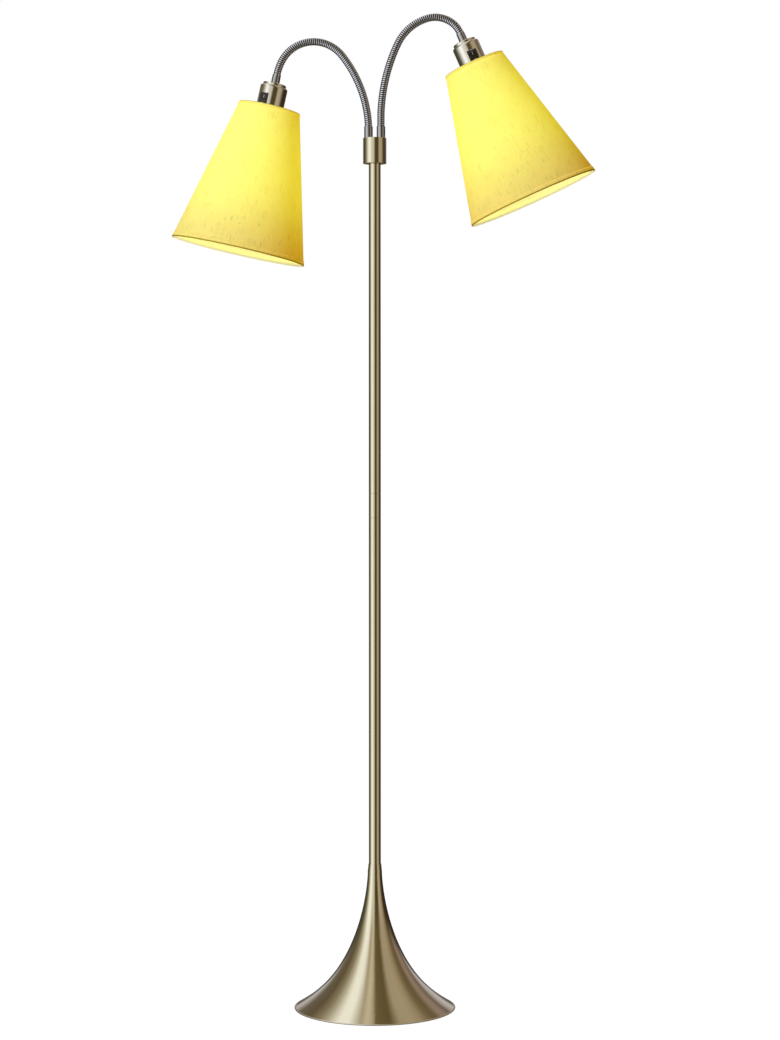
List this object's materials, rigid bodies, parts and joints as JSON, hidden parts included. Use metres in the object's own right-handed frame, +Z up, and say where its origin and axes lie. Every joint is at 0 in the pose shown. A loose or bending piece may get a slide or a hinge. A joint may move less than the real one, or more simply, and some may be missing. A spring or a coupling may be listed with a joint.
{
  "type": "two-arm floor lamp",
  "caption": "Floor lamp with a trumpet foot, a slim brass pole and flexible gooseneck arms that each carry a switched lampholder and a conical fabric shade.",
  "frame": {"origin": "on the floor under the middle of the foot", "axes": "+Z up along the pole, -Y to the front, +X towards the right arm as seen from the front"},
  "size_m": [0.6327, 0.2429, 1.492],
  "materials": {
    "satin_brass": "satin, lacquered",
    "raw_brass": "turned",
    "zinc_steel": "zinc plated",
    "chrome": "polished",
    "iron": "as cast",
    "felt": "pressed felt",
    "black_plastic": "moulded",
    "rocker_plastic": "moulded",
    "flex_sheath": "smooth",
    "shade_fabric": "slubbed weave on a stiff liner",
    "hem_tape": "folded tape",
    "white_wire": "white powder coat",
    "opal_glass": "opal",
    "bulb_metal": "rolled"
  },
  "bodies": {
    "stand": {"base_bell": "satin_brass", "neck_ring": "satin_brass", "base_weight": "iron", "base_pad": "felt", "tie_tube": "zinc_steel", "base_washer": "zinc_steel", "base_nut": "zinc_steel", "cable_bush": "black_plastic", "pole_bush": "raw_brass", "lower_pole": "satin_brass", "pole_coupling": "satin_brass", "upper_pole": "satin_brass", "collar_plug": "raw_brass", "arm_collar": "satin_brass", "collar_screw": "zinc_steel", "terminal_block": "black_plastic"},
    "left_arm_root": {"left_ferrule": "chrome", "left_ferrule_nut": "zinc_steel"},
    "left_arm": {"left_gooseneck": "chrome", "left_flex": "flex_sheath"},
    "left_head": {"left_head_ferrule": "chrome", "left_head_nut": "zinc_steel", "left_holder_cap": "satin_brass", "left_holder_cover": "satin_brass", "left_switch_frame": "black_plastic", "left_socket_core": "black_plastic", "left_screw_shell": "raw_brass", "left_centre_contact": "raw_brass", "left_shade_rings": "black_plastic", "left_shade_fitter": "white_wire", "left_shade_hoop": "white_wire", "left_shade": "shade_fabric", "left_shade_hems": "hem_tape", "left_bulb_cap": "bulb_metal", "left_bulb_globe": "opal_glass"},
    "left_rocker": {"left_switch_rocker": "rocker_plastic"},
    "right_arm_root": {"right_ferrule": "chrome", "right_ferrule_nut": "zinc_steel"},
    "right_arm": {"right_gooseneck": "chrome", "right_flex": "flex_sheath"},
    "right_head": {"right_head_ferrule": "chrome", "right_head_nut": "zinc_steel", "right_holder_cap": "satin_brass", "right_holder_cover": "satin_brass", "right_switch_frame": "black_plastic", "right_socket_core": "black_plastic", "right_screw_shell": "raw_brass", "right_centre_contact": "raw_brass", "right_shade_rings": "black_plastic", "right_shade_fitter": "white_wire", "right_shade_hoop": "white_wire", "right_shade": "shade_fabric", "right_shade_hems": "hem_tape", "right_bulb_cap": "bulb_metal", "right_bulb_globe": "opal_glass"},
    "right_rocker": {"right_switch_rocker": "rocker_plastic"}
  },
  "joints": [
    {"name": "left_arm_swing", "type": "hinge", "parent": "stand", "child": "left_arm_root", "pos_m": [-0.0093, 0, 1.307], "axis": [0, 0, 1], "range_deg": [-45, 45]},
    {"name": "left_arm_bend", "type": "hinge", "parent": "left_arm_root", "child": "left_arm", "pos_m": [-0.01984, 0, 1.37815], "axis": [0, -1, 0], "range_deg": [-40, 15], "deforming": ["left_gooseneck", "left_flex"]},
    {"name": "left_head_tilt", "type": "hinge", "parent": "left_arm", "child": "left_head", "pos_m": [-0.11489, 0, 1.44446], "axis": [0, 1, 0], "range_deg": [-12, 60], "deforming": ["left_gooseneck", "left_flex"]},
    {"name": "left_switch_rock", "type": "hinge", "parent": "left_head", "child": "left_rocker", "pos_m": [-0.16426, -0.01376, 1.36083], "axis": [0.8091, -0.5592, -0.1808], "range_deg": [0, 18]},
    {"name": "right_arm_swing", "type": "hinge", "parent": "stand", "child": "right_arm_root", "pos_m": [0.0093, 0, 1.307], "axis": [0, 0, 1], "range_deg": [-45, 45]},
    {"name": "right_arm_bend", "type": "hinge", "parent": "right_arm_root", "child": "right_arm", "pos_m": [0.01299, 0, 1.37919], "axis": [0, 1, 0], "range_deg": [-40, 15], "deforming": ["right_gooseneck", "right_flex"]},
    {"name": "right_head_tilt", "type": "hinge", "parent": "right_arm", "child": "right_head", "pos_m": [0.08165, 0, 1.48548], "axis": [0, -1, 0], "range_deg": [-12, 60], "deforming": ["right_gooseneck", "right_flex"]},
    {"name": "right_switch_rock", "type": "hinge", "parent": "right_head", "child": "right_rocker", "pos_m": [0.14736, -0.0164, 1.42438], "axis": [0.9016, 0.1564, 0.4033], "range_deg": [0, 18]}
  ]
}
